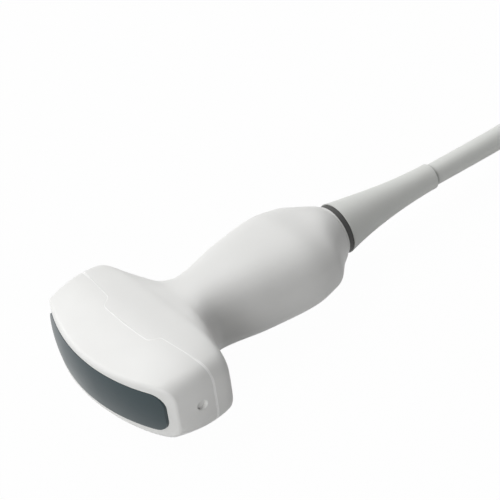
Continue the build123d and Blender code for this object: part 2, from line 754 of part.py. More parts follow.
def hank_loop(fold, grow):
    """Solid slot round the folds of one turn of the hank."""
    slot = SlotCenterToCenter(HANK_RUN, 2 * (fold + grow))
    return Pos(HANK_X + HANK_RUN / 2, -HANK_ASIDE, -grow) * extrude(slot, HANK_HEIGHT + 2 * grow)


def hank_block(grow):
    """All the turns of the hank as one block, grown a little on every side."""
    outer = hank_loop(HANK_OUTER_FOLD + CABLE_RADIUS, grow)
    return outer - hank_loop(HANK_INNER_FOLD - CABLE_RADIUS, -grow)


def outside_hank(tube):
    """Stretch of a lead up to where it joins the hank."""
    return (tube - hank_block(CABLE_FIT)).solids().sort_by(SortBy.VOLUME)[-1]


def tie_bar(grow, length):
    """Bar that fills the tie, which holds the turns on the side where the cable comes and goes."""
    width = HANK_COLUMNS * CABLE_DIA + 2 * TIE_FIT
    height = HANK_HEIGHT + 2 * TIE_FIT
    middle = TIE_THICK + height / 2
    outline = Plane.YZ * RectangleRounded(width + 2 * grow, height + 2 * grow, TIE_CORNER + grow)
    across = LEAD_Y - (HANK_COLUMNS - 1) * CABLE_RADIUS
    return Pos(HANK_X + HANK_RUN / 2, across, middle) * extrude(outline, length / 2, both=True)


def cable_hank():
    """Spare cable folded into a hank, relieved underneath where the tie passes."""
    block = hank_block(0)
    rims = block.edges().group_by(Axis.Z)
    block = fillet(rims[0] + rims[-1], HANK_CORNER)
    reach = TIE_WIDTH / 2 + TIE_FIT
    middle = HANK_X + HANK_RUN / 2
    under = slab((middle - reach, middle + reach), (0, BIG), (-1, HANK_HEIGHT / 2))
    return block - (under - tie_bar(-TIE_FIT / 2, 4 * reach))


def hank_tie():
    """Strap round the turns."""
    return tie_bar(TIE_THICK, TIE_WIDTH) - tie_bar(0, 2 * TIE_WIDTH)


# Console plug, drawn with its mating face forward


def plug_body(inset):
    """Block with rounded corners, drawn in by an inset."""
    depth = PLUG_DEPTH - 2 * inset
    width = PLUG_WIDTH - 2 * inset
    height = PLUG_HEIGHT - 2 * inset
    outline = RectangleRounded(depth, width, PLUG_CORNER - inset)
    block = Pos(PLUG_DEPTH / 2, 0, inset) * extrude(outline, height)
    ends = block.edges().group_by(Axis.Z)
    return fillet(ends[0] + ends[-1], max(PLUG_EDGE - inset, PLUG_INNER_EDGE))


def plug_corners():
    """Places of the four closing screws."""
    reach = PLUG_WIDTH / 2 - PLUG_SCREW_INSET
    return [(x, y) for x in (PLUG_SCREW_REAR, PLUG_DEPTH - PLUG_SCREW_INSET) for y in (-reach, reach)]


def plug_half(side):
    """Lower (side -1) or upper (side 1) cover with its bosses and openings."""
    shell = plug_body(0) - plug_body(PLUG_WALL)
    bosses = [post(x, y, (PLUG_WALL, PLUG_HEIGHT - PLUG_WALL), PLUG_BOSS_DIA) for x, y in plug_corners()]
    low = (-BIG, PLUG_MIDDLE) if side < 0 else (PLUG_MIDDLE, BIG)
    half = (shell + bosses) & slab((-BIG, BIG), (-BIG, BIG), low)
    half -= [post(x, y, (-1, PLUG_HEIGHT - PLUG_WALL - 1), PLUG_SCREW_DIA + 2 * CABLE_FIT)
             for x, y in plug_corners()]
    half -= [post(x, y, (-1, PLUG_WALL), PLUG_SCREW_HEAD + 2 * CABLE_FIT) for x, y in plug_corners()]
    half -= rod((-1, PLUG_WALL + 1), BOOT_NECK_DIA + 2 * BOOT_FIT, PLUG_CABLE_SIDE, PLUG_MIDDLE)
    half -= rod((-1, PLUG_WALL + 1), SHAFT_DIA + 2 * BUSH_WALL + 2 * SHAFT_FIT, 0, PLUG_MIDDLE)
    wide = BLOCK_WIDTH / 2 + BLOCK_FIT
    tall = BLOCK_HEIGHT / 2 + BLOCK_FIT
    window = (PLUG_MIDDLE - tall, PLUG_MIDDLE + tall)
    return half - slab((PLUG_DEPTH - PLUG_WALL - 1, BIG), (-wide, wide), window)


def plug_screws():
    """Closing screws, driven from below."""
    shank = post(0, 0, (PLUG_WALL, PLUG_HEIGHT - PLUG_WALL - PLUG_SCREW_END), PLUG_SCREW_DIA)
    head = post(0, 0, (PLUG_SCREW_SINK, PLUG_WALL), PLUG_SCREW_HEAD)
    return group(Pos(x, y, 0) * (shank + head) for x, y in plug_corners())


BLOCK_FROM = PLUG_DEPTH + FLANGE_THICK + BLOCK_PROUD - BLOCK_DEPTH
BLOCK_TO = PLUG_DEPTH + FLANGE_THICK + BLOCK_PROUD
SHAFT_BORE = SHAFT_DIA + 2 * BUSH_WALL + 2 * SHAFT_FIT


def plug_flange():
    """Metal mating flange round the contact block."""
    width = BLOCK_WIDTH + 2 * FLANGE_RIM
    height = BLOCK_HEIGHT + 2 * FLANGE_RIM
    outline = Plane.YZ * RectangleRounded(width, height, FLANGE_CORNER)
    plate = Pos(PLUG_DEPTH, 0, PLUG_MIDDLE) * extrude(outline, FLANGE_THICK)
    wide = BLOCK_WIDTH / 2 + BLOCK_FIT
    tall = BLOCK_HEIGHT / 2 + BLOCK_FIT
    return plate - slab((0, BIG), (-wide, wide), (PLUG_MIDDLE - tall, PLUG_MIDDLE + tall))


def pad_places():
    """Across places of the contacts, clear of the lock shaft in the middle."""
    first = SHAFT_BORE / 2 + PAD_PITCH
    return [side * (first + k * PAD_PITCH) for side in (-1, 1) for k in range(PADS_PER_SIDE)]


def pad_heights():
    """Heights of the rows of contacts."""
    step = BLOCK_HEIGHT / (PAD_ROWS + 1)
    return [PLUG_MIDDLE - BLOCK_HEIGHT / 2 + (k + 1) * step for k in range(PAD_ROWS)]


def contact_block():
    """Insulator with a slot for each contact and a bore for the lock shaft."""
    block = slab((BLOCK_FROM, BLOCK_TO), (-BLOCK_WIDTH / 2, BLOCK_WIDTH / 2),
                 (PLUG_MIDDLE - BLOCK_HEIGHT / 2, PLUG_MIDDLE + BLOCK_HEIGHT / 2))
    block -= rod((0, BIG), SHAFT_BORE, 0, PLUG_MIDDLE)
    half = PAD_WIDTH / 2 + CABLE_FIT
    deep = PAD_THICK + CABLE_FIT
    slots = [slab((BLOCK_FROM + PAD_FROM, BIG), (y - half, y + half), (z - deep, z + deep))
             for y in pad_places() for z in pad_heights()]
    return block - slots


def contact_pads():
    """Sprung contacts in the slots of the block."""
    half = PAD_WIDTH / 2
    ends = (BLOCK_FROM + PAD_FROM, BLOCK_TO - PAD_RECESS)
    return group(slab(ends, (y - half, y + half), (z - PAD_THICK, z + PAD_THICK))
                 for y in pad_places() for z in pad_heights())


def plug_board():
    """Circuit board behind the contact block."""
    width = PLUG_WIDTH - 2 * PLUG_WALL - 2 * PLUG_SCREW_INSET
    height = PLUG_HEIGHT - 2 * PLUG_WALL - 2 * BLOCK_FIT
    board = Pos(BLOCK_FROM - PLUG_BOARD_THICK, 0, PLUG_MIDDLE) * extrude(
        Plane.YZ * Rectangle(width, height), PLUG_BOARD_THICK)
    return board - rod((0, BIG), SHAFT_BORE, 0, PLUG_MIDDLE)


def plug_boot():
    """Tapered strain relief on the plug."""
    half = PLUG_BOOT_DIA / 2
    tip = BOOT_TIP_DIA / 2
    slopes = [(1, PLUG_BOOT_TIP_SLOPE), (1, PLUG_BOOT_ROOT_SLOPE)]
    side = Spline((-PLUG_BOOT_LENGTH, tip), (0, half), tangents=slopes)
    rim = Polyline((0, half), (0, 0), (-PLUG_BOOT_LENGTH, 0), (-PLUG_BOOT_LENGTH, tip))
    taper = revolve(make_face([side, rim]), Axis.X)
    neck = rod((0, PLUG_WALL + BOOT_FIT), BOOT_NECK_DIA)
    flange = rod((PLUG_WALL + BOOT_FIT, PLUG_WALL + BOOT_FLANGE_THICK), PLUG_BOOT_FLANGE_DIA)
    body = taper + neck + flange - rod((-BIG, BIG), CABLE_DIA + 2 * CABLE_FIT)
    return Pos(0, PLUG_CABLE_SIDE, PLUG_MIDDLE) * body


PLUG_CLAMP_FROM = PLUG_WALL + BOOT_FLANGE_THICK + PLUG_CLAMP_GAP
PLUG_CLAMP_TO = PLUG_CLAMP_FROM + CLAMP_LENGTH


def plug_clamp():
    """Block between the covers that grips the cable in the plug."""
    low = PLUG_WALL + BLOCK_FIT
    wide = PLUG_CLAMP_WIDTH / 2
    block = slab((PLUG_CLAMP_FROM, PLUG_CLAMP_TO), (PLUG_CABLE_SIDE - wide, PLUG_CABLE_SIDE + wide),
                 (low, PLUG_HEIGHT - low))
    return block - rod((0, BIG), CABLE_DIA + 2 * CABLE_FIT, PLUG_CABLE_SIDE, PLUG_MIDDLE)


def plug_cable_tail():
    """End of the cable through the plug's strain relief and clamp."""
    return rod((-PLUG_BOOT_LENGTH, PLUG_CLAMP_TO), CABLE_DIA, PLUG_CABLE_SIDE, PLUG_MIDDLE)


def plug_wiring():
    """Coaxial wires from the cable's end to the plug's board."""
    start = PLUG_CLAMP_TO + CABLE_FIT
    stop = BLOCK_FROM - PLUG_BOARD_THICK - CABLE_FIT
    low = Plane.YZ * Pos(PLUG_CABLE_SIDE, PLUG_MIDDLE) * Rectangle(CORE_RADIUS, CORE_RADIUS)
    side = SHAFT_BORE / 2 + PAD_PITCH + CORE_DIA / 2
    high = Plane.YZ * Pos(side, PLUG_MIDDLE) * Rectangle(CORE_DIA, CORE_RADIUS)
    return loft([Pos(start, 0, 0) * low, Pos(stop, 0, 0) * high])


# Turning lock of the plug


CLIP_FROM = PLUG_WALL + BUSH_PROUD + SHAFT_FIT
KEY_FROM = BLOCK_TO + KEY_CLEAR


def shaft_bushes():
    """Plain bearings of the lock shaft in the rear wall and in the contact block."""
    outside = SHAFT_DIA + 2 * BUSH_WALL
    bore = rod((-BIG, BIG), SHAFT_DIA + 2 * SHAFT_FIT, 0, PLUG_MIDDLE)
    rear = rod((0, PLUG_WALL + BUSH_PROUD), outside, 0, PLUG_MIDDLE) - bore
    front = rod((BLOCK_FROM, BLOCK_TO), outside, 0, PLUG_MIDDLE) - bore
    return group([rear, front])


def lock_shaft():
    """Turned shaft with a cross key at the front and a groove for its clip."""
    back = -KNOB_CLEAR - KNOB_DISC
    shaft = rod((back, KEY_FROM + KEY_THICK), SHAFT_DIA, 0, PLUG_MIDDLE)
    key = slab((KEY_FROM, KEY_FROM + KEY_THICK), (-KEY_LENGTH / 2, KEY_LENGTH / 2),
               (PLUG_MIDDLE - KEY_WIDTH / 2, PLUG_MIDDLE + KEY_WIDTH / 2))
    key = fillet(key.edges().filter_by(Axis.X), KEY_ROUND)
    groove = rod((CLIP_FROM, CLIP_FROM + CLIP_THICK), SHAFT_DIA + 1, 0, PLUG_MIDDLE)
    groove -= rod((-BIG, BIG), GROOVE_DIA, 0, PLUG_MIDDLE)
    screw_hole = rod((-BIG, back + SHAFT_DIA + 1), PLUG_SCREW_DIA + 2 * CABLE_FIT, 0, PLUG_MIDDLE)
    return shaft + key - groove - screw_hole


def shaft_clip():
    """Spring clip that keeps the shaft in its rear bearing."""
    ring = rod((CLIP_FROM + SHAFT_FIT, CLIP_FROM + CLIP_THICK - SHAFT_FIT), CLIP_DIA, 0, PLUG_MIDDLE)
    ring -= rod((-BIG, BIG), GROOVE_DIA + 2 * SHAFT_FIT, 0, PLUG_MIDDLE)
    half = CLIP_MOUTH / 2
    return ring - slab((0, BIG), (-half, half), (PLUG_MIDDLE, BIG))


def lock_knob():
    """Knob with a finger bar on the rear of the plug."""
    disc_back = -KNOB_CLEAR - KNOB_DISC
    disc = rod((disc_back, -KNOB_CLEAR), KNOB_DIA, 0, PLUG_MIDDLE)
    disc = fillet(disc.edges().sort_by(Axis.X)[0], KNOB_EDGE)
    half = KNOB_GRIP_WIDTH / 2
    bar = slab((disc_back - KNOB_GRIP, disc_back), (-half, half),
               (PLUG_MIDDLE - KNOB_GRIP_LENGTH / 2, PLUG_MIDDLE + KNOB_GRIP_LENGTH / 2))
    bar = fillet(bar.edges().filter_by(Axis.X), KNOB_GRIP_ROUND)
    bar = fillet(bar.edges().group_by(Axis.X)[0], KNOB_EDGE)
    bore = rod((disc_back, 0), SHAFT_DIA + 2 * CABLE_FIT, 0, PLUG_MIDDLE)
    screw_bore = rod((-BIG, 0), PLUG_SCREW_DIA + 2 * CABLE_FIT, 0, PLUG_MIDDLE)
    recess = rod((-BIG, disc_back - KNOB_GRIP / 2), PLUG_SCREW_HEAD + 2 * CABLE_FIT, 0, PLUG_MIDDLE)
    return disc + bar - bore - screw_bore - recess


def knob_screw():
    """Screw that draws the knob onto its shaft."""
    seat = -KNOB_CLEAR - KNOB_DISC - KNOB_GRIP / 2
    shank = rod((seat, -KNOB_CLEAR - KNOB_DISC + SHAFT_DIA), PLUG_SCREW_DIA, 0, PLUG_MIDDLE)
    return shank + rod((seat - KNOB_SCREW_HEAD, seat), PLUG_SCREW_HEAD, 0, PLUG_MIDDLE)


PLUG_SEAT = Pos(PLUG_X, PLUG_Y, 0)

PROBE_NODES = {
    "nose_shell": nose_shell(),
    "handle_upper_shell": handle_half(1),
    "handle_lower_shell": handle_half(-1),
    "seam_gasket": seam_gasket(),
    "rear_collar": rear_collar(),
    "seal_ring": seal_ring(),
    "strain_relief_boot": strain_relief_boot(),
    "acoustic_lens": acoustic_lens(),
    "outer_matching_layer": arc_block(OUTER_LAYER_BACK, LAYER_FRONT, ARRAY_HEIGHT, ARRAY_HALF_ANGLE),
    "inner_matching_layer": arc_block(INNER_LAYER_BACK, INNER_LAYER_FRONT, ARRAY_HEIGHT, ARRAY_HALF_ANGLE),
    "piezo_array": piezo_array(),
    "backing_block": arc_block(BACKING_BACK, BACKING_FRONT, ARRAY_HEIGHT, ARRAY_HALF_ANGLE),
    "array_frame": array_frame(),
    "upper_flex_circuit": flex_circuit(1),
    "lower_flex_circuit": flex_circuit(-1),
    "upper_signal_board": signal_board(1),
    "lower_signal_board": signal_board(-1),
    "board_connectors": board_connectors(),
    "board_carrier": board_carrier(),
    "board_screws": board_screws(),
    "upper_cable_clamp": cable_clamp(1),
    "lower_cable_clamp": cable_clamp(-1),
    "clamp_screws": clamp_screws(),
    "crimp_ferrule": crimp_ferrule(),
    "coax_bundle": coax_bundle(),
    "cable_tail": cable_stretch(CABLE_DIA),
}

CORD_NODES = {
    "cable_lead": outside_hank(cord_tube(LEAD_ROUTE, "cable_lead")),
    "cable_hank": cable_hank(),
    "hank_tie": hank_tie(),
    "plug_lead": outside_hank(cord_tube(OUT_ROUTE, "plug_lead")),
}

PLUG_NODES = {
    "plug_boot": plug_boot(),
    "plug_cable_tail": plug_cable_tail(),
    "plug_clamp": plug_clamp(),
    "plug_wiring": plug_wiring(),
    "plug_lower_cover": plug_half(-1),
    "plug_upper_cover": plug_half(1),
    "plug_screws": plug_screws(),
    "plug_flange": plug_flange(),
    "contact_block": contact_block(),
    "contact_pads": contact_pads(),
    "plug_board": plug_board(),
    "shaft_bushes": shaft_bushes(),
    "lock_shaft": lock_shaft(),
    "shaft_clip": shaft_clip(),
    "lock_knob": lock_knob(),
    "knob_screw": knob_screw(),
}

os.makedirs("parts", exist_ok=True)
for name, solid in PROBE_NODES.items():
    export_step(LYING * solid, f"parts/{name}.step")
for name, solid in CORD_NODES.items():
    export_step(solid, f"parts/{name}.step")
for name, solid in PLUG_NODES.items():
    export_step(PLUG_SEAT * solid, f"parts/{name}.step")
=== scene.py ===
# %% [markdown]
# # Curved-array ultrasound probe
# The CAD model already holds every rigid piece at its true size. This lesson loads it as a fixed frame,
# points a camera at it, lays the cable, and then gives each piece the finish of the real thing.

# %% Load the frame
import math

import bmesh
import bpy
from mathutils import Matrix, Vector


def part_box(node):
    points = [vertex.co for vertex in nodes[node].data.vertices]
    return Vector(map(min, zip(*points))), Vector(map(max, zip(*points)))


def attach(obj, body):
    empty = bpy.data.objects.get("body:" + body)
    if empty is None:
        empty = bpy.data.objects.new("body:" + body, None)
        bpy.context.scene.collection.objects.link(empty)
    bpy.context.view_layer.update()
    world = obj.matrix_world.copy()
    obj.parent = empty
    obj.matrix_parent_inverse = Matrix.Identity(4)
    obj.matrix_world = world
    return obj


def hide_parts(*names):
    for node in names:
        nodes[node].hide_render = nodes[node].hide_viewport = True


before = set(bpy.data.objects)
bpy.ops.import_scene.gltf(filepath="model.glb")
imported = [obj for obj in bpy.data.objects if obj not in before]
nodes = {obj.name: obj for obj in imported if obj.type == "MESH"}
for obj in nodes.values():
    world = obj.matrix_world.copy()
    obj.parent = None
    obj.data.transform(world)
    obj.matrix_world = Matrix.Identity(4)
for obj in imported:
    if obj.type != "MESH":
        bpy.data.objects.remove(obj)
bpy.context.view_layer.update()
scene = bpy.context.scene
scene.view_settings.view_transform = "Standard"

# %% [markdown]
# ## Camera
# A small object shot for a catalogue is taken with a long lens from some way off, which keeps its
# proportions. The camera is set by a look-at point on the handle, a direction back towards the lens and an
# up direction, and is then aimed a little off that point so that the probe sits where the picture has it.

# %% Place the camera
LOOK_AT = Vector((-0.0155, 0.0, 0.0127))
BACK = Vector((-0.41092, -0.64142, 0.64786))
UP = Vector((0.47649, 0.45473, 0.75244))
DISTANCE = 0.6977
FOCAL_PIXELS = 2334.0
FRAME_PIXELS = 500.0
SENSOR_MM = 36.0
look_pixel = (225.1, 297.07)

right = UP.cross(BACK).normalized()
aside = (FRAME_PIXELS / 2 - look_pixel[0]) / FOCAL_PIXELS
above = (look_pixel[1] - FRAME_PIXELS / 2) / FOCAL_PIXELS
back = (BACK - right * aside - UP * above).normalized()
right = UP.cross(back).normalized()
up = back.cross(right)
turn = Matrix((right, up, back)).transposed().to_4x4()
camera_data = bpy.data.cameras.new("studio_camera")
camera_data.sensor_width = SENSOR_MM
camera_data.lens = FOCAL_PIXELS / FRAME_PIXELS * SENSOR_MM
camera = bpy.data.objects.new("studio_camera", camera_data)
camera.matrix_world = Matrix.Translation(LOOK_AT + BACK * DISTANCE) @ turn
scene.collection.objects.link(camera)
scene.camera = camera
print("camera lens", round(camera_data.lens, 1), "mm at", [round(v, 3) for v in camera.location])

# %% [markdown]
# ## Cable
# The cable leaves the strain relief a little downhill and reaches the table. Its spare length is folded
# into a hank in line with the probe, held by a strap, with the console plug beyond it. One NURBS spline
# follows the whole of it: a few listed points for the lead, a loop of points for the turns, and a few
# more up to the plug. A turn is a straight run, a fold, a run back and a fold. On the way back each turn
# steps to the next free place, and the turns step one after the other so that none of them runs through its
# neighbour.

# %% Sizes of the hank
CABLE = 0.0072
EXIT = Vector((0.066826, 0.0, 0.01097))
HANK = Vector((0.141026, -0.014, 0.0))
RUN = 0.046
OUTER = 0.0288
INNER = 0.0216
SIDE = HANK.y + OUTER
PLUG_RUN = 0.050
PLUG_HEIGHT = 0.020
PLUG_BOOT_END = Vector((HANK.x + RUN + PLUG_RUN, SIDE, PLUG_HEIGHT))
TIE_LIFT = 0.0014
places = [(OUTER, 0), (INNER, 0), (INNER, 1), (OUTER, 1), (OUTER, 2), (INNER, 2), (INNER, 3), (OUTER, 3)]
quarter_fold = math.pi / 2 * (OUTER + INNER) / 2
step_zone = RUN + 2 * quarter_fold
STEP_WINDOW = 0.357
STEP_LAG = 0.107


def smooth(t):
    t = min(max(t, 0.0), 1.0)
    return t * t * (3 - 2 * t)


def place_of(turn_number, along):
    """Fold radius and height of a turn, once it has gone a share of the zone where it steps over."""
    fold, layer = places[turn_number]
    fold_after, layer_after = places[turn_number + 1]
    wait = (len(places) - 2 - turn_number) * STEP_LAG
    moved = smooth((along - wait) / STEP_WINDOW)
    height = CABLE * (0.5 + layer + (layer_after - layer) * moved)
    return fold + (fold_after - fold) * moved, height


print("places in the hank", len(places), "step zone", round(step_zone, 4), "m")

# %% Route of the lead, the turns and the way out
FIRST_RUN = 0.0152
FIRST_DROP = 0.00085
CREST_RUN = 0.034
CREST_HEIGHT = 0.0093
DIP_RUN = 0.0482
DIP_ASIDE = 0.0062
DIP_HEIGHT = 0.0044
LANDING_RUN = 0.0075
LANDING_ASIDE = 0.0006
OUT_RUNS = (0.008, 0.020)
OUT_SAG = 0.0004
END_RUN = 0.012
END_LIFT = 0.0002
FOLD_ANGLES = (15, 45, 75, 105, 135, 165)
widen = 1 / math.cos(math.radians(FOLD_ANGLES[0]))
run_stops = ((0.0, 0.0), (0.2, 0.25), (0.37, 1.0), (0.5, 1.0), (0.63, 1.0), (0.8, 0.25), (1.0, 0.0))

lead = [
    EXIT,
    EXIT + Vector((FIRST_RUN, 0, -FIRST_DROP)),
    Vector((EXIT.x + CREST_RUN, 0, CREST_HEIGHT)),
    Vector((EXIT.x + DIP_RUN, DIP_ASIDE, DIP_HEIGHT)),
    Vector((HANK.x - LANDING_RUN, SIDE - LANDING_ASIDE, CABLE / 2)),
]
turns = []
for k in range(len(places) - 1):
    fold, height = place_of(k, 0)
    for share, lift in run_stops:
        turns.append(HANK + Vector((RUN * share, fold, height + TIE_LIFT * lift)))
    for angle in FOLD_ANGLES:
        fold, height = place_of(k, (angle - 90) / 90 * quarter_fold / step_zone)
        bend = math.radians(angle)
        ahead, across = fold * widen * math.sin(bend), fold * widen * math.cos(bend)
        turns.append(HANK + Vector((RUN + ahead, across, height)))
    for share in (0, 0.25, 0.5, 0.75, 1):
        fold, height = place_of(k, (quarter_fold + share * RUN) / step_zone)
        turns.append(HANK + Vector((RUN * (1 - share), -fold, height)))
    for angle in FOLD_ANGLES:
        fold, height = place_of(k, (quarter_fold + RUN + angle / 90 * quarter_fold) / step_zone)
        bend = math.radians(angle)
        ahead, across = fold * widen * math.sin(bend), fold * widen * math.cos(bend)
        turns.append(HANK + Vector((-ahead, -across, height)))
TOP = CABLE * (0.5 + places[-1][1])
out = [HANK + Vector((RUN * share, OUTER, TOP + TIE_LIFT * lift)) for share, lift in run_stops]
out += [
    Vector((HANK.x + RUN + OUT_RUNS[0], SIDE, TOP)),
    Vector((HANK.x + RUN + OUT_RUNS[1], SIDE, TOP - OUT_SAG)),
    PLUG_BOOT_END + Vector((-END_RUN, 0, END_LIFT)),
    PLUG_BOOT_END,
]
print("route points", len(lead), "+", len(turns), "+", len(out))

# %% The cable itself
cable_line = bpy.data.curves.new("cable", "CURVE")
cable_line.dimensions = "3D"
spline = cable_line.splines.new("NURBS")
route = lead + turns + out
spline.points.add(len(route) - 1)
for point, place in zip(spline.points, route):
    point.co = (*place, 1.0)
    point.radius = CABLE / 2
spline.order_u = 3
spline.use_endpoint_u = True
spline.resolution_u = 4
cable_line.bevel_depth = 1.0
cable_line.bevel_resolution = 6
cable_line.use_fill_caps = True
cable = bpy.data.objects.new("cable", cable_line)
scene.collection.objects.link(cable)
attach(cable, "probe")
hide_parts("cable_lead", "cable_hank", "plug_lead")

# %% [markdown]
# ## Strap
# The hank is held by a short strap of woven tape. It starts as a box round the turns, whose long edges are
# rounded to lie on the outer cables. Its two open ends come off, and the sheet that is left is given the
# thickness of the tape.

# %% Model the strap
STRAP_THICK = 0.0012
STRAP_ROUND = 0.0030
STRAP_EDGE = 0.0003
tie_low, tie_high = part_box("hank_tie")


def strap_sheet(shape, low, high):
    """Open rounded sleeve along X between two corners."""
    made = bmesh.ops.create_cube(shape, size=1)
    size = high - low
    bmesh.ops.scale(shape, vec=size, verts=made["verts"])
    bmesh.ops.translate(shape, vec=(low + high) / 2, verts=made["verts"])
    ends = [face for face in shape.faces if abs(face.normal.x) > 0.9]
    bmesh.ops.delete(shape, geom=ends, context="FACES_ONLY")
    long_edges = [edge for edge in shape.edges if abs((edge.verts[0].co - edge.verts[1].co).x) > size.x / 2]
    bmesh.ops.bevel(shape, geom=long_edges, offset=STRAP_ROUND, segments=6, profile=0.5, affect="EDGES",
                    material=-1)


shape = bmesh.new()
inset = Vector((0, STRAP_THICK, STRAP_THICK))
strap_sheet(shape, Vector(tie_low) + inset, Vector(tie_high) - inset)
bmesh.ops.recalc_face_normals(shape, faces=shape.faces)
bmesh.ops.solidify(shape, geom=shape.faces[:], thickness=-STRAP_THICK)
strap_mesh = bpy.data.meshes.new("strap")
shape.to_mesh(strap_mesh)
shape.free()
strap = bpy.data.objects.new("strap", strap_mesh)
scene.collection.objects.link(strap)
soften = strap.modifiers.new("soft_edges", "BEVEL")
soften.width = STRAP_EDGE
soften.segments = 2
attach(strap, "probe")
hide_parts("hank_tie")

# %% [markdown]
# ## Shared finishes
# Moulded plastic, rubber and metal all show the same few things up close: a fine grain, a colour that isn't
# quite even, and a gloss that changes where hands have been. Each of these is a node group that is built
# once and placed in every material with its own values. The patterns run on Object coordinates, which here
# are metres, so a scale of 1000 gives marks of about a millimetre.

# %% Helpers for node groups
def node_group(name, inputs, outputs):
    """Empty shader group with named sockets, its input node and its output node."""
    tree = bpy.data.node_groups.new(name, "ShaderNodeTree")
    for label, kind, value in inputs:
        socket = tree.interface.new_socket(label, in_out="INPUT", socket_type=kind)
        socket.default_value = value
    for label, kind in outputs:
        tree.interface.new_socket(label, in_out="OUTPUT", socket_type=kind)
    return tree, tree.nodes.new("NodeGroupInput"), tree.nodes.new("NodeGroupOutput")


def add(tree, kind, values=(), **settings):
    """New node with its settings, and with values for the inputs that are given by name or number."""
    node = tree.nodes.new(kind)
    for key, value in settings.items():
        setattr(node, key, value)
    for key, value in values:
        node.inputs[key].default_value = value
    return node


def stretched_noise(tree, stretch, detail):
    """Noise on Object coordinates, squeezed by a factor on each axis."""
    place = add(tree, "ShaderNodeTexCoord")
    squeeze = add(tree, "ShaderNodeMapping", [("Scale", stretch)])
    noise = add(tree, "ShaderNodeTexNoise", [("Detail", detail), ("Roughness", 0.55)])
    tree.links.new(place.outputs["Object"], squeeze.inputs["Vector"])
    tree.links.new(squeeze.outputs["Vector"], noise.inputs["Vector"])
    return noise


FLOAT = "NodeSocketFloat"
COLOUR = "NodeSocketColor"
NORMAL = "NodeSocketVector"
NOISE_RANGE = [("From Min", 0.3), ("From Max", 0.7)]
print("helpers for node groups ready")

# %% Uneven colour
mottle, start, end = node_group("uneven_colour", [("Color", COLOUR, (1, 1, 1, 1)), ("Amount", FLOAT, 0.02),
                                                  ("Scale", FLOAT, 60.0)], [("Color", COLOUR)])
noise = stretched_noise(mottle, (1, 1, 1), 3.0)
least = add(mottle, "ShaderNodeMath", [(0, 1.0)], operation="SUBTRACT")
most = add(mottle, "ShaderNodeMath", [(0, 1.0)], operation="ADD")
spread = add(mottle, "ShaderNodeMapRange", NOISE_RANGE)
tint = add(mottle, "ShaderNodeVectorMath", operation="SCALE")
mottle.links.new(start.outputs["Scale"], noise.inputs["Scale"])
mottle.links.new(start.outputs["Amount"], least.inputs[1])
mottle.links.new(start.outputs["Amount"], most.inputs[1])
mottle.links.new(noise.outputs["Fac"], spread.inputs["Value"])
mottle.links.new(least.outputs[0], spread.inputs["To Min"])
mottle.links.new(most.outputs[0], spread.inputs["To Max"])
mottle.links.new(start.outputs["Color"], tint.inputs[0])
mottle.links.new(spread.outputs[0], tint.inputs["Scale"])
mottle.links.new(tint.outputs["Vector"], end.inputs["Color"])
print("group", mottle.name)

# %% Uneven gloss
gloss, start, end = node_group("uneven_gloss", [("Base", FLOAT, 0.4), ("Spread", FLOAT, 0.05),
                                                ("Scale", FLOAT, 90.0)], [("Roughness", FLOAT)])
noise = stretched_noise(gloss, (1, 1, 1), 4.0)
least = add(gloss, "ShaderNodeMath", operation="SUBTRACT")
most = add(gloss, "ShaderNodeMath", operation="ADD")
spread = add(gloss, "ShaderNodeMapRange", NOISE_RANGE)
for limit in (least, most):
    gloss.links.new(start.outputs["Base"], limit.inputs[0])
    gloss.links.new(start.outputs["Spread"], limit.inputs[1])
gloss.links.new(start.outputs["Scale"], noise.inputs["Scale"])
gloss.links.new(noise.outputs["Fac"], spread.inputs["Value"])
gloss.links.new(least.outputs[0], spread.inputs["To Min"])
gloss.links.new(most.outputs[0], spread.inputs["To Max"])
gloss.links.new(spread.outputs[0], end.inputs["Roughness"])
print("group", gloss.name)

# %% Moulded grain
grain, start, end = node_group("moulded_grain", [("Scale", FLOAT, 2500.0), ("Depth", FLOAT, 0.1)],
                               [("Normal", NORMAL)])
noise = stretched_noise(grain, (1, 1, 1), 2.0)
bump = add(grain, "ShaderNodeBump", [("Distance", 0.0002)])
grain.links.new(start.outputs["Scale"], noise.inputs["Scale"])
grain.links.new(start.outputs["Depth"], bump.inputs["Strength"])
grain.links.new(noise.outputs["Fac"], bump.inputs["Height"])
grain.links.new(bump.outputs["Normal"], end.inputs["Normal"])
print("group", grain.name)

# %% Turned and brushed metal
brush, start, end = node_group("brushed_metal", [("Base", FLOAT, 0.3), ("Spread", FLOAT, 0.1)],
                               [("Roughness", FLOAT), ("Normal", NORMAL)])
noise = stretched_noise(brush, (300, 6000, 6000), 3.0)
least = add(brush, "ShaderNodeMath", operation="SUBTRACT")
most = add(brush, "ShaderNodeMath", operation="ADD")
spread = add(brush, "ShaderNodeMapRange", NOISE_RANGE)
bump = add(brush, "ShaderNodeBump", [("Strength", 0.12), ("Distance", 0.0001)])
noise.inputs["Scale"].default_value = 1.0
for limit in (least, most):
    brush.links.new(start.outputs["Base"], limit.inputs[0])
    brush.links.new(start.outputs["Spread"], limit.inputs[1])
brush.links.new(noise.outputs["Fac"], spread.inputs["Value"])
brush.links.new(least.outputs[0], spread.inputs["To Min"])
brush.links.new(most.outputs[0], spread.inputs["To Max"])
brush.links.new(noise.outputs["Fac"], bump.inputs["Height"])
brush.links.new(spread.outputs[0], end.inputs["Roughness"])
brush.links.new(bump.outputs["Normal"], end.inputs["Normal"])
print("group", brush.name)

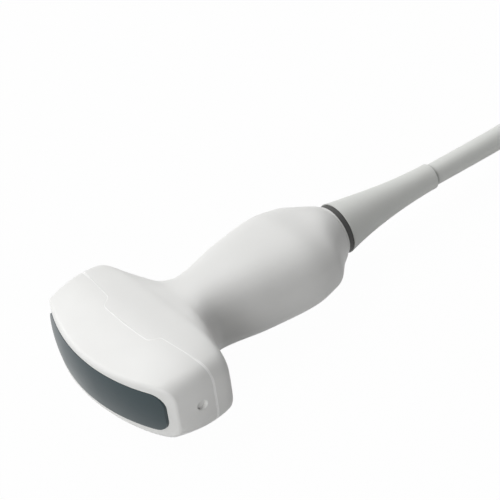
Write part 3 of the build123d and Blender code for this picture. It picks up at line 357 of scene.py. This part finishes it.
# %% Fine stripes for tracks, wires and tape
stripes, start, end = node_group("fine_stripes", [("Scale", FLOAT, 400.0), ("Turn", NORMAL, (0, 0, 0)),
                                                  ("Depth", FLOAT, 0.3)],
                                 [("Mask", FLOAT), ("Normal", NORMAL)])
place = add(stripes, "ShaderNodeTexCoord")
turned = add(stripes, "ShaderNodeMapping")
wave = add(stripes, "ShaderNodeTexWave", [("Distortion", 0.3), ("Detail", 1.0)], bands_direction="Y")
bump = add(stripes, "ShaderNodeBump", [("Distance", 0.0003)])
stripes.links.new(place.outputs["Object"], turned.inputs["Vector"])
stripes.links.new(start.outputs["Turn"], turned.inputs["Rotation"])
stripes.links.new(turned.outputs["Vector"], wave.inputs["Vector"])
stripes.links.new(start.outputs["Scale"], wave.inputs["Scale"])
stripes.links.new(start.outputs["Depth"], bump.inputs["Strength"])
stripes.links.new(wave.outputs["Fac"], bump.inputs["Height"])
stripes.links.new(wave.outputs["Fac"], end.inputs["Mask"])
stripes.links.new(bump.outputs["Normal"], end.inputs["Normal"])
print("group", stripes.name)

# %% Specks of filler
specks, start, end = node_group("filler_specks", [("Scale", FLOAT, 3000.0), ("Cover", FLOAT, 0.25)],
                                [("Mask", FLOAT)])
place = add(specks, "ShaderNodeTexCoord")
cells = add(specks, "ShaderNodeTexVoronoi")
near = add(specks, "ShaderNodeMath", operation="LESS_THAN")
specks.links.new(place.outputs["Object"], cells.inputs["Vector"])
specks.links.new(start.outputs["Scale"], cells.inputs["Scale"])
specks.links.new(cells.outputs["Distance"], near.inputs[0])
specks.links.new(start.outputs["Cover"], near.inputs[1])
specks.links.new(near.outputs[0], end.inputs["Mask"])
print("group", specks.name)

# %% Shade beside a step
# The group gives a factor for painted shade: Dark at the step, rising to 1 over Reach along X.
shade, start, end = node_group("step_shade", [("Step", FLOAT, 0.0), ("Reach", FLOAT, 0.001),
                                              ("Dark", FLOAT, 0.5)], [("Light", FLOAT)])
place = add(shade, "ShaderNodeTexCoord")
axes = add(shade, "ShaderNodeSeparateXYZ")
far = add(shade, "ShaderNodeMath", operation="ADD")
fade = add(shade, "ShaderNodeMapRange", [("To Max", 1.0)], interpolation_type="SMOOTHSTEP")
shade.links.new(place.outputs["Object"], axes.inputs[0])
shade.links.new(start.outputs["Step"], far.inputs[0])
shade.links.new(start.outputs["Reach"], far.inputs[1])
shade.links.new(axes.outputs["X"], fade.inputs["Value"])
shade.links.new(start.outputs["Step"], fade.inputs["From Min"])
shade.links.new(far.outputs[0], fade.inputs["From Max"])
shade.links.new(start.outputs["Dark"], fade.inputs["To Min"])
shade.links.new(fade.outputs[0], end.inputs["Light"])
print("group", shade.name)

# %% Painted highlight along a bowed seam
# The mask below places a painted highlight: a thin band on the seam's bow, kept to the ends of the head.
SEAM_CORE = 0.00025
seam_inputs = [("Axis", FLOAT, 0.1), ("Radius", FLOAT, 0.15), ("Half", FLOAT, 0.0004), ("From", FLOAT, 0.02),
               ("Fade", FLOAT, 0.006)]
seam_painted_highlight, start, end = node_group("seam_painted_highlight", seam_inputs, [("Mask", FLOAT)])
place = add(seam_painted_highlight, "ShaderNodeTexCoord")
axes = add(seam_painted_highlight, "ShaderNodeSeparateXYZ")
along = add(seam_painted_highlight, "ShaderNodeMath", operation="SUBTRACT")
flat = add(seam_painted_highlight, "ShaderNodeCombineXYZ")
reach = add(seam_painted_highlight, "ShaderNodeVectorMath", operation="LENGTH")
off = add(seam_painted_highlight, "ShaderNodeMath", operation="SUBTRACT")
gap = add(seam_painted_highlight, "ShaderNodeMath", operation="ABSOLUTE")
near = add(seam_painted_highlight, "ShaderNodeMapRange", [("From Min", SEAM_CORE), ("To Min", 1.0), ("To Max", 0.0)])
side = add(seam_painted_highlight, "ShaderNodeMath", operation="ABSOLUTE")
full = add(seam_painted_highlight, "ShaderNodeMath", operation="ADD")
outer = add(seam_painted_highlight, "ShaderNodeMapRange", interpolation_type="SMOOTHSTEP")
both = add(seam_painted_highlight, "ShaderNodeMath", operation="MULTIPLY")
seam_painted_highlight.links.new(place.outputs["Object"], axes.inputs[0])
seam_painted_highlight.links.new(axes.outputs["X"], along.inputs[0])
seam_painted_highlight.links.new(start.outputs["Axis"], along.inputs[1])
seam_painted_highlight.links.new(along.outputs[0], flat.inputs["X"])
seam_painted_highlight.links.new(axes.outputs["Y"], flat.inputs["Y"])
seam_painted_highlight.links.new(flat.outputs[0], reach.inputs[0])
seam_painted_highlight.links.new(reach.outputs["Value"], off.inputs[0])
seam_painted_highlight.links.new(start.outputs["Radius"], off.inputs[1])
seam_painted_highlight.links.new(off.outputs[0], gap.inputs[0])
seam_painted_highlight.links.new(gap.outputs[0], near.inputs["Value"])
seam_painted_highlight.links.new(start.outputs["Half"], near.inputs["From Max"])
seam_painted_highlight.links.new(axes.outputs["Y"], side.inputs[0])
seam_painted_highlight.links.new(side.outputs[0], outer.inputs["Value"])
seam_painted_highlight.links.new(start.outputs["From"], full.inputs[0])
seam_painted_highlight.links.new(start.outputs["Fade"], full.inputs[1])
seam_painted_highlight.links.new(start.outputs["From"], outer.inputs["From Min"])
seam_painted_highlight.links.new(full.outputs[0], outer.inputs["From Max"])
seam_painted_highlight.links.new(near.outputs[0], both.inputs[0])
seam_painted_highlight.links.new(outer.outputs[0], both.inputs[1])
seam_painted_highlight.links.new(both.outputs[0], end.inputs["Mask"])
print("group", seam_painted_highlight.name)

# %% [markdown]
# ## Moulded and rubber finishes
# One helper makes every plastic and rubber from the three groups above. The housing is a satin white, the
# strain relief and the cable jacket are a soft grey with less gloss, the ring is a dull black rubber, and
# the lens is a slate-coloured silicone whose skin lightens where it is seen at a flat angle, so it alone
# gets some sheen.

# %% Helper for moulded finishes
def use(tree, group, values=()):
    """Node in a material that stands for a shared group."""
    node = tree.nodes.new("ShaderNodeGroup")
    node.node_tree = group
    for key, value in values:
        node.inputs[key].default_value = value
    return node


def empty_finish(name):
    """New material, its tree and its Principled shader."""
    made = bpy.data.materials.new(name)
    made.use_nodes = True
    return made, made.node_tree, made.node_tree.nodes["Principled BSDF"]


def moulded(name, colour, rough, uneven=0.02, patch=60.0, fine=2500.0, depth=0.08, spread=0.05, coat=0.0):
    """Plastic or rubber with an uneven colour, an uneven gloss and a fine grain."""
    made, tree, shader = empty_finish(name)
    tint = use(tree, mottle, [("Color", (*colour, 1)), ("Amount", uneven), ("Scale", patch)])
    sheen = use(tree, gloss, [("Base", rough), ("Spread", spread)])
    skin = use(tree, grain, [("Scale", fine), ("Depth", depth)])
    tree.links.new(tint.outputs["Color"], shader.inputs["Base Color"])
    tree.links.new(sheen.outputs["Roughness"], shader.inputs["Roughness"])
    tree.links.new(skin.outputs["Normal"], shader.inputs["Normal"])
    shader.inputs["Coat Weight"].default_value = coat
    shader.inputs["Coat Roughness"].default_value = 0.25
    return made


finishes = {
    "housing": moulded("housing_white", (0.79, 0.79, 0.775), 0.44, uneven=0.012, fine=3000, depth=0.05),
    "collar": moulded("collar_white", (0.80, 0.80, 0.785), 0.28, uneven=0.012, depth=0.02, coat=0.3),
    # The seam gasket is its own white plus a painted highlight: lighter than the housing so it shows as a
    # light line.
    "gasket": moulded("seam_white_and_painted_highlight", (0.95, 0.95, 0.94), 0.30, uneven=0.01, depth=0.02, coat=0.4),
    "boot": moulded("boot_grey", (0.73, 0.74, 0.715), 0.55, uneven=0.02, fine=1800, depth=0.10),
    "jacket": moulded("cable_grey", (0.74, 0.75, 0.725), 0.52, uneven=0.02, fine=1500, depth=0.10),
    "ring": moulded("ring_black", (0.045, 0.045, 0.043), 0.60, uneven=0.10, fine=1600, depth=0.20),
    "lens": moulded("lens_slate", (0.027, 0.047, 0.054), 0.40, uneven=0.03, fine=1200, depth=0.03),
    "inner_plastic": moulded("inner_grey", (0.32, 0.33, 0.34), 0.50, uneven=0.04, depth=0.12),
    "dark_plastic": moulded("dark_plastic", (0.035, 0.036, 0.038), 0.45, uneven=0.08, depth=0.15),
    "plug": moulded("plug_grey", (0.52, 0.53, 0.51), 0.48, uneven=0.02, fine=1600, depth=0.18),
}
lens_shader = finishes["lens"].node_tree.nodes["Principled BSDF"]
lens_shader.inputs["Sheen Weight"].default_value = 0.20
lens_shader.inputs["Sheen Roughness"].default_value = 0.45
lens_shader.inputs["Specular IOR Level"].default_value = 0.36
print("moulded finishes", len(finishes))

# %% [markdown]
# Two of these get one thing more, and both are painted light. The seam's moulded edges catch the light as
# a fine line on the ends of the head, where the seam is bowed to a large radius, and that highlight is
# painted into the housing's colour. The cable lies in shade for the first millimetre behind the tip of the
# strain relief, and that shade is painted into the jacket's colour.

# %% Painted highlight along the seam
SEAM_BOW = 0.150
SEAM_MIDDLE = -0.04797
SEAM_HALF = 0.00045
SEAM_LINE_FROM = 0.022
SEAM_LINE_FADE = 0.008
tree = finishes["housing"].node_tree
housing_shader = tree.nodes["Principled BSDF"]
plain_colour = housing_shader.inputs["Base Color"].links[0].from_socket
edge = use(tree, seam_painted_highlight, [("Axis", SEAM_MIDDLE + SEAM_BOW), ("Radius", SEAM_BOW), ("Half", SEAM_HALF),
                             ("From", SEAM_LINE_FROM), ("Fade", SEAM_LINE_FADE)])
# Painted highlight: inside the mask the housing's colour is mixed to near white, for light caught by the
# seam's edges.
painted_highlight_mix = add(tree, "ShaderNodeMix", data_type="RGBA")
painted_highlight_mix.inputs[7].default_value = (1.0, 1.0, 0.99, 1)
tree.links.new(edge.outputs["Mask"], painted_highlight_mix.inputs["Factor"])
tree.links.new(plain_colour, painted_highlight_mix.inputs[6])
tree.links.new(painted_highlight_mix.outputs[2], housing_shader.inputs["Base Color"])
print("line added along the seam")

# %% Shade at the cable's exit
SHADE_REACH = 0.0016
SHADE_DARK = 0.35
tree = finishes["jacket"].node_tree
jacket_shader = tree.nodes["Principled BSDF"]
plain_colour = jacket_shader.inputs["Base Color"].links[0].from_socket
near_exit = use(tree, shade, [("Step", EXIT.x), ("Reach", SHADE_REACH), ("Dark", SHADE_DARK)])
# Painted shadow: the jacket's colour is scaled down to SHADE_DARK at the boot's tip and back to full over
# SHADE_REACH.
shaded = add(tree, "ShaderNodeVectorMath", operation="SCALE")
tree.links.new(plain_colour, shaded.inputs[0])
tree.links.new(near_exit.outputs["Light"], shaded.inputs["Scale"])
tree.links.new(shaded.outputs["Vector"], jacket_shader.inputs["Base Color"])
print("shade added from X", round(EXIT.x, 4), "m")

# %% [markdown]
# ## Metals and filled resins
# Screws, clips and the shaft are turned steel, the bearings are brass, the contacts are gold, and the frame
# and flange are aluminium. Metal gets its look from stretched marks in its gloss. The layers behind the lens
# are resins loaded with powder, so they get specks of a second colour.

# %% Metal finishes
def metal(name, colour, rough):
    """Metal with marks drawn out along X."""
    made, tree, shader = empty_finish(name)
    marks = use(tree, brush, [("Base", rough), ("Spread", 0.08)])
    tint = use(tree, mottle, [("Color", (*colour, 1)), ("Amount", 0.05), ("Scale", 250.0)])
    tree.links.new(tint.outputs["Color"], shader.inputs["Base Color"])
    tree.links.new(marks.outputs["Roughness"], shader.inputs["Roughness"])
    tree.links.new(marks.outputs["Normal"], shader.inputs["Normal"])
    shader.inputs["Metallic"].default_value = 1.0
    return made


finishes["steel"] = metal("turned_steel", (0.56, 0.57, 0.58), 0.30)
finishes["brass"] = metal("plain_brass", (0.72, 0.52, 0.22), 0.32)
finishes["gold"] = metal("contact_gold", (0.85, 0.62, 0.25), 0.22)
finishes["aluminium"] = metal("drawn_aluminium", (0.70, 0.71, 0.72), 0.36)
print("finishes so far", len(finishes))

# %% Filled resins
def two_tone(name, colour, other, mask_node, mask_values, rough, normal=False):
    """Surface of one colour marked with another through a group's mask."""
    made, tree, shader = empty_finish(name)
    mask = use(tree, mask_node, mask_values)
    blend = add(tree, "ShaderNodeMix", data_type="RGBA")
    blend.inputs[6].default_value = (*colour, 1)
    blend.inputs[7].default_value = (*other, 1)
    sheen = use(tree, gloss, [("Base", rough), ("Spread", 0.06)])
    tree.links.new(mask.outputs["Mask"], blend.inputs["Factor"])
    tree.links.new(blend.outputs[2], shader.inputs["Base Color"])
    tree.links.new(sheen.outputs["Roughness"], shader.inputs["Roughness"])
    if normal:
        tree.links.new(mask.outputs["Normal"], shader.inputs["Normal"])
    return made


finishes["outer_layer"] = two_tone("filled_resin", (0.30, 0.12, 0.06), (0.42, 0.22, 0.12), specks,
                                   [("Scale", 3000.0), ("Cover", 0.25)], 0.55)
finishes["inner_layer"] = two_tone("metal_filled_resin", (0.16, 0.16, 0.17), (0.45, 0.45, 0.46), specks,
                                   [("Scale", 4000.0), ("Cover", 0.22)], 0.45)
finishes["ceramic"] = two_tone("fired_ceramic", (0.50, 0.47, 0.40), (0.36, 0.34, 0.30), specks,
                               [("Scale", 5000.0), ("Cover", 0.15)], 0.50)
finishes["backing"] = two_tone("loaded_backing", (0.045, 0.045, 0.05), (0.20, 0.20, 0.21), specks,
                               [("Scale", 2600.0), ("Cover", 0.18)], 0.60)
print("finishes so far", len(finishes))

# %% [markdown]
# ## Circuits, wires and tape
# Boards and flexible circuits show fine parallel tracks, the loose wires are a fan of thin coloured
# strands, and the strap is a ribbed tape. All of these are stripes at their own pitch and direction.

# %% Striped finishes
ACROSS = (0, 0, 0)
ALONG = (0, 0, math.pi / 2)
finishes["board"] = two_tone("board_green", (0.012, 0.10, 0.045), (0.03, 0.17, 0.08), stripes,
                             [("Scale", 330.0), ("Turn", ACROSS), ("Depth", 0.05)], 0.35, normal=True)
finishes["flex"] = two_tone("flex_amber", (0.42, 0.17, 0.03), (0.62, 0.33, 0.10), stripes,
                            [("Scale", 500.0), ("Turn", ACROSS), ("Depth", 0.08)], 0.32, normal=True)
finishes["wires"] = two_tone("fine_wires", (0.52, 0.10, 0.05), (0.66, 0.63, 0.56), stripes,
                             [("Scale", 420.0), ("Turn", ACROSS), ("Depth", 0.6)], 0.45, normal=True)
finishes["tape"] = two_tone("ribbed_tape", (0.028, 0.029, 0.031), (0.055, 0.056, 0.06), stripes,
                            [("Scale", 260.0), ("Turn", ALONG), ("Depth", 0.7)], 0.75, normal=True)
print("finishes in all", len(finishes))

# %% [markdown]
# ## Dress every piece
# Each piece of the CAD model keeps its own mesh and takes one finish. The table below reads like a parts
# list, and the count at the end shows that none was missed.

# %% Give each piece its finish
dressed = {
    "housing": ("nose_shell", "handle_upper_shell", "handle_lower_shell"),
    "collar": ("rear_collar",),
    "gasket": ("seam_gasket",),
    "boot": ("strain_relief_boot", "plug_boot"),
    "jacket": ("cable_tail", "plug_cable_tail", "cable_lead", "cable_hank", "plug_lead"),
    "ring": ("seal_ring",),
    "lens": ("acoustic_lens",),
    "inner_plastic": ("board_carrier", "upper_cable_clamp", "lower_cable_clamp", "plug_clamp"),
    "dark_plastic": ("board_connectors", "contact_block", "lock_knob"),
    "plug": ("plug_lower_cover", "plug_upper_cover"),
    "steel": ("board_screws", "clamp_screws", "crimp_ferrule", "plug_screws", "lock_shaft", "shaft_clip",
              "knob_screw"),
    "brass": ("shaft_bushes",),
    "gold": ("contact_pads",),
    "aluminium": ("array_frame", "plug_flange"),
    "outer_layer": ("outer_matching_layer",),
    "inner_layer": ("inner_matching_layer",),
    "ceramic": ("piezo_array",),
    "backing": ("backing_block",),
    "board": ("upper_signal_board", "lower_signal_board", "plug_board"),
    "flex": ("upper_flex_circuit", "lower_flex_circuit"),
    "wires": ("coax_bundle", "plug_wiring"),
    "tape": ("hank_tie",),
}
for kind, names in dressed.items():
    for name in names:
        nodes[name].data.materials.clear()
        nodes[name].data.materials.append(finishes[kind])
cable_line.materials.append(finishes["jacket"])
strap_mesh.materials.append(finishes["tape"])
covered = {name for names in dressed.values() for name in names}
print("pieces dressed", len(covered), "of", len(nodes), "left", sorted(set(nodes) - covered))

# %% [markdown]
# ## Floor and light
# A catalogue picture has even light with few shadows. Two softboxes behind the probe brighten its top and
# leave the side towards the camera in half tone, and a low one in front of the lens fills the end of the
# head. The floor and the world show as white to the camera and in reflections, but light the probe much
# less, and the floor still takes a little of the shadow.

# %% Rays that see the background
def background_rays(tree):
    """1 for a ray that sees the background or its mirror image, 0 for one that lights the object."""
    rays = add(tree, "ShaderNodeLightPath")
    mirrored = add(tree, "ShaderNodeMath", operation="ADD")
    all_three = add(tree, "ShaderNodeMath", operation="ADD", use_clamp=True)
    tree.links.new(rays.outputs["Is Glossy Ray"], mirrored.inputs[0])
    tree.links.new(rays.outputs["Is Transmission Ray"], mirrored.inputs[1])
    tree.links.new(rays.outputs["Is Camera Ray"], all_three.inputs[0])
    tree.links.new(mirrored.outputs[0], all_three.inputs[1])
    return all_three.outputs[0]


print("background rays ready")

# %% Floor
FLOOR_HALF = 4
FLOOR_DROP = 0.0002
PAPER = (0.6, 0.6, 0.6, 1)
GLOW_SHARE = 0.98
floor_mesh = bpy.data.meshes.new("floor")
shape = bmesh.new()
bmesh.ops.create_grid(shape, x_segments=1, y_segments=1, size=FLOOR_HALF)
shape.to_mesh(floor_mesh)
shape.free()
floor = bpy.data.objects.new("floor", floor_mesh)
floor.location.z = -FLOOR_DROP
scene.collection.objects.link(floor)
paper = bpy.data.materials.new("white_paper")
paper.use_nodes = True
tree = paper.node_tree
tree.nodes.clear()
output = tree.nodes.new("ShaderNodeOutputMaterial")
mix = tree.nodes.new("ShaderNodeMixShader")
plain = tree.nodes.new("ShaderNodeBsdfDiffuse")
plain.inputs["Color"].default_value = PAPER
glow = tree.nodes.new("ShaderNodeEmission")
glow.inputs["Strength"].default_value = 1.0
seen = add(tree, "ShaderNodeMath", [(1, GLOW_SHARE)], operation="MULTIPLY")
tree.links.new(background_rays(tree), seen.inputs[0])
tree.links.new(seen.outputs[0], mix.inputs["Fac"])
tree.links.new(plain.outputs[0], mix.inputs[1])
tree.links.new(glow.outputs[0], mix.inputs[2])
tree.links.new(mix.outputs[0], output.inputs["Surface"])
floor_mesh.materials.append(paper)
print("floor ready")

# %% Light
WORLD_LIGHT = 0.125
SOFTBOX = 0.8
world = bpy.data.worlds.new("studio_world")
scene.world = world
world.use_nodes = True
tree = world.node_tree
tree.nodes.clear()
output = tree.nodes.new("ShaderNodeOutputWorld")
mix = tree.nodes.new("ShaderNodeMixShader")
dim = tree.nodes.new("ShaderNodeBackground")
dim.inputs["Color"].default_value = (1, 1, 1, 1)
dim.inputs["Strength"].default_value = WORLD_LIGHT
white = tree.nodes.new("ShaderNodeBackground")
white.inputs["Color"].default_value = (1, 1, 1, 1)
white.inputs["Strength"].default_value = 1.0
tree.links.new(background_rays(tree), mix.inputs["Fac"])
tree.links.new(dim.outputs[0], mix.inputs[1])
tree.links.new(white.outputs[0], mix.inputs[2])
tree.links.new(mix.outputs[0], output.inputs["Surface"])


def softbox(name, place, power):
    """Square area lamp that points at the probe."""
    data = bpy.data.lights.new(name, "AREA")
    data.shape = "SQUARE"
    data.size = SOFTBOX
    data.energy = power
    lamp = bpy.data.objects.new(name, data)
    lamp.location = place
    lamp.rotation_euler = (-lamp.location).to_track_quat("-Z", "Y").to_euler()
    scene.collection.objects.link(lamp)
    print(name, "at", [round(v, 2) for v in lamp.location], power, "W")


softbox("key_behind", Vector((-0.30, 0.60, 0.75)), 7.5)
softbox("second_behind", Vector((0.50, 0.40, 0.80)), 2.4)
softbox("low_fill", Vector((-0.90, -0.40, 0.30)), 5.5)
